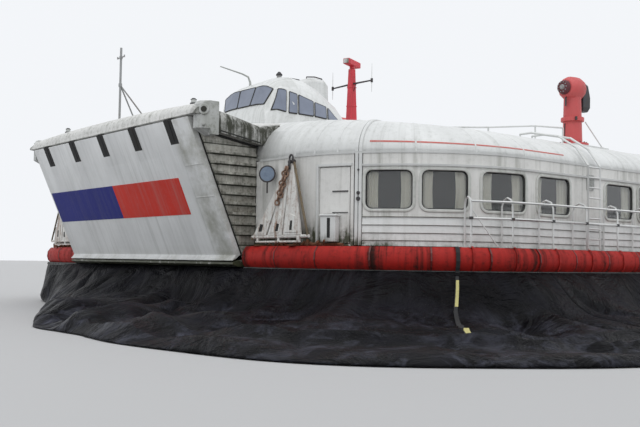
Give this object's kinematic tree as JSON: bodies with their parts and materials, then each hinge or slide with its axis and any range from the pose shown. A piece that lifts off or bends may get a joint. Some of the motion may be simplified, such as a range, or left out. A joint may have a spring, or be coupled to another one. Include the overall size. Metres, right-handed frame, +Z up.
{
  "type": "car and passenger hovercraft, scale model at 1:2",
  "caption": "Half-size model of a large car-carrying hovercraft: cabins round a car deck, control cabin, pylons, fins and a let-down black skirt.",
  "frame": {"origin": "under the middle landing pad, on the ground, on the centreline amidships", "axes": "+X forward to the bow, +Y to port, +Z up"},
  "size_m": [28.2415, 15.6001, 5.9542],
  "materials": {
    "hull_white": "weathered gloss paint",
    "hull_grey": "weathered paint",
    "deck_grey": "non-slip paint",
    "band_red": "weathered gloss paint",
    "skirt_rubber": "satin",
    "steel_grey": "satin",
    "dark_metal": "matte",
    "window_glass": "tinted"
  },
  "bodies": {
    "hull": {"hull_raft": "hull_grey", "side_deck_port": "deck_grey", "side_deck_starboard": "deck_grey", "deck_edge_port": "band_red", "deck_edge_starboard": "band_red", "bow_sill": "hull_white", "stern_sill": "hull_grey", "skirt_bow": "skirt_rubber", "skirt_port_bow": "skirt_rubber", "skirt_port": "skirt_rubber", "skirt_stern": "skirt_rubber", "skirt_starboard": "skirt_rubber", "skirt_starboard_bow": "skirt_rubber", "main_roof": "hull_white", "bow_roof": "hull_white", "bow_ramp": "steel_grey", "control_cabin": "hull_white", "control_cabin_glass": "window_glass", "radar_mast": "band_red", "bow_mast": "steel_grey", "bow_wall_port": "hull_white", "bow_wall_starboard": "hull_white", "cabin_wall_port": "hull_white", "cabin_wall_starboard": "hull_white", "cabin_glass_port": "window_glass", "cabin_glass_starboard": "window_glass", "inner_wall_port": "hull_white", "inner_wall_starboard": "hull_white", "bow_side_port": "hull_white", "bow_side_starboard": "hull_white", "engine_block_port": "dark_metal", "engine_block_starboard": "dark_metal", "pylon_platform_port": "hull_white", "pylon_platform_starboard": "hull_white", "aft_plinth_port": "hull_white", "aft_plinth_starboard": "hull_white", "ladder_port": "hull_white", "ladder_starboard": "hull_white", "side_rail_port": "hull_white", "side_rail_starboard": "hull_white"},
    "bow_door": {"bow_door": "hull_white"},
    "stern_door": {"stern_door": "hull_white"},
    "stern_ramp": {"stern_ramp": "steel_grey"},
    "crew_door_port": {"crew_door_port": "hull_white"},
    "crew_door_starboard": {"crew_door_starboard": "hull_white"},
    "forward_pylon_port": {"forward_pylon_port": "band_red"},
    "forward_pylon_starboard": {"forward_pylon_starboard": "band_red"},
    "forward_hub_port": {"forward_hub_port": "dark_metal"},
    "forward_hub_starboard": {"forward_hub_starboard": "dark_metal"},
    "aft_pylon_port": {"aft_pylon_port": "band_red"},
    "aft_pylon_starboard": {"aft_pylon_starboard": "band_red"},
    "aft_propeller_port": {"aft_propeller_port": "steel_grey"},
    "aft_propeller_starboard": {"aft_propeller_starboard": "steel_grey"},
    "fin_port": {"fin_port": "band_red"},
    "fin_starboard": {"fin_starboard": "band_red"},
    "rudder_port": {"rudder_port": "band_red"},
    "rudder_starboard": {"rudder_starboard": "band_red"},
    "radar_scanner": {"radar_scanner": "band_red"},
    "lifting_frame_port": {"lifting_frame_port": "hull_white"},
    "lifting_frame_starboard": {"lifting_frame_starboard": "hull_white"}
  },
  "joints": [
    {"name": "bow_door_hinge", "type": "hinge", "parent": "hull", "child": "bow_door", "pos_m": [12.35, 0, 2.675], "axis": [0, -1, 0], "range_deg": [0, 100]},
    {"name": "stern_door_hinge", "type": "hinge", "parent": "hull", "child": "stern_door", "pos_m": [-12.65, 0, 2.59], "axis": [0, 1, 0], "range_deg": [0, 90]},
    {"name": "stern_ramp_hinge", "type": "hinge", "parent": "hull", "child": "stern_ramp", "pos_m": [-12.65, 0, 0.87], "axis": [0, -1, 0], "range_deg": [0, 100]},
    {"name": "crew_door_port_hinge", "type": "hinge", "parent": "hull", "child": "crew_door_port", "pos_m": [11.07243, 4.26268, 1.05], "axis": [0, 0, 1], "range_deg": [0, 100]},
    {"name": "crew_door_starboard_hinge", "type": "hinge", "parent": "hull", "child": "crew_door_starboard", "pos_m": [11.07243, -4.26268, 1.05], "axis": [0, 0, -1], "range_deg": [0, 100]},
    {"name": "forward_pylon_port_yaw", "type": "hinge", "parent": "hull", "child": "forward_pylon_port", "pos_m": [4.9, 3.1, 2.89], "axis": [0, 0, 1], "range_deg": [-35, 35]},
    {"name": "forward_pylon_starboard_yaw", "type": "hinge", "parent": "hull", "child": "forward_pylon_starboard", "pos_m": [4.9, -3.1, 2.89], "axis": [0, 0, 1], "range_deg": [-35, 35]},
    {"name": "forward_hub_port_spin", "type": "hinge", "parent": "forward_pylon_port", "child": "forward_hub_port", "pos_m": [5.16, 3.1, 3.925], "axis": [1, 0, 0], "continuous": true},
    {"name": "forward_hub_starboard_spin", "type": "hinge", "parent": "forward_pylon_starboard", "child": "forward_hub_starboard", "pos_m": [5.16, -3.1, 3.925], "axis": [1, 0, 0], "continuous": true},
    {"name": "aft_pylon_port_yaw", "type": "hinge", "parent": "hull", "child": "aft_pylon_port", "pos_m": [-9, 3.5, 2.75], "axis": [0, 0, 1], "range_deg": [-35, 35]},
    {"name": "aft_pylon_starboard_yaw", "type": "hinge", "parent": "hull", "child": "aft_pylon_starboard", "pos_m": [-9, -3.5, 2.75], "axis": [0, 0, 1], "range_deg": [-35, 35]},
    {"name": "aft_propeller_port_spin", "type": "hinge", "parent": "aft_pylon_port", "child": "aft_propeller_port", "pos_m": [-8.43, 3.5, 4.36], "axis": [1, 0, 0], "continuous": true},
    {"name": "aft_propeller_starboard_spin", "type": "hinge", "parent": "aft_pylon_starboard", "child": "aft_propeller_starboard", "pos_m": [-8.43, -3.5, 4.36], "axis": [1, 0, 0], "continuous": true},
    {"name": "fin_port_yaw", "type": "hinge", "parent": "hull", "child": "fin_port", "pos_m": [-10.6, 3.5, 2.81], "axis": [0, 0, 1], "range_deg": [-30, 30]},
    {"name": "fin_starboard_yaw", "type": "hinge", "parent": "hull", "child": "fin_starboard", "pos_m": [-10.6, -3.5, 2.81], "axis": [0, 0, 1], "range_deg": [-30, 30]},
    {"name": "rudder_port_yaw", "type": "hinge", "parent": "fin_port", "child": "rudder_port", "pos_m": [-11.765, 3.5, 2.81], "axis": [0, 0, 1], "range_deg": [-40, 40]},
    {"name": "rudder_starboard_yaw", "type": "hinge", "parent": "fin_starboard", "child": "rudder_starboard", "pos_m": [-11.765, -3.5, 2.81], "axis": [0, 0, 1], "range_deg": [-40, 40]},
    {"name": "radar_scanner_spin", "type": "hinge", "parent": "hull", "child": "radar_scanner", "pos_m": [7.35, 0, 4.525], "axis": [0, 0, 1], "continuous": true},
    {"name": "lifting_frame_port_fold", "type": "hinge", "parent": "hull", "child": "lifting_frame_port", "pos_m": [11.42, 3.25, 1.08], "axis": [0, 1, 0], "range_deg": [0, 85]},
    {"name": "lifting_frame_starboard_fold", "type": "hinge", "parent": "hull", "child": "lifting_frame_starboard", "pos_m": [11.42, -3.25, 1.08], "axis": [0, 1, 0], "range_deg": [0, 85]}
  ],
  "couplings": [
    {"joint": "forward_pylon_starboard_yaw", "follows": "forward_pylon_port_yaw", "ratio": 1},
    {"joint": "aft_pylon_starboard_yaw", "follows": "aft_pylon_port_yaw", "ratio": 1},
    {"joint": "fin_port_yaw", "follows": "aft_pylon_port_yaw", "ratio": 0.857},
    {"joint": "fin_starboard_yaw", "follows": "aft_pylon_port_yaw", "ratio": 0.857},
    {"joint": "rudder_port_yaw", "follows": "aft_pylon_port_yaw", "ratio": 1.14},
    {"joint": "rudder_starboard_yaw", "follows": "aft_pylon_port_yaw", "ratio": 1.14}
  ]
}
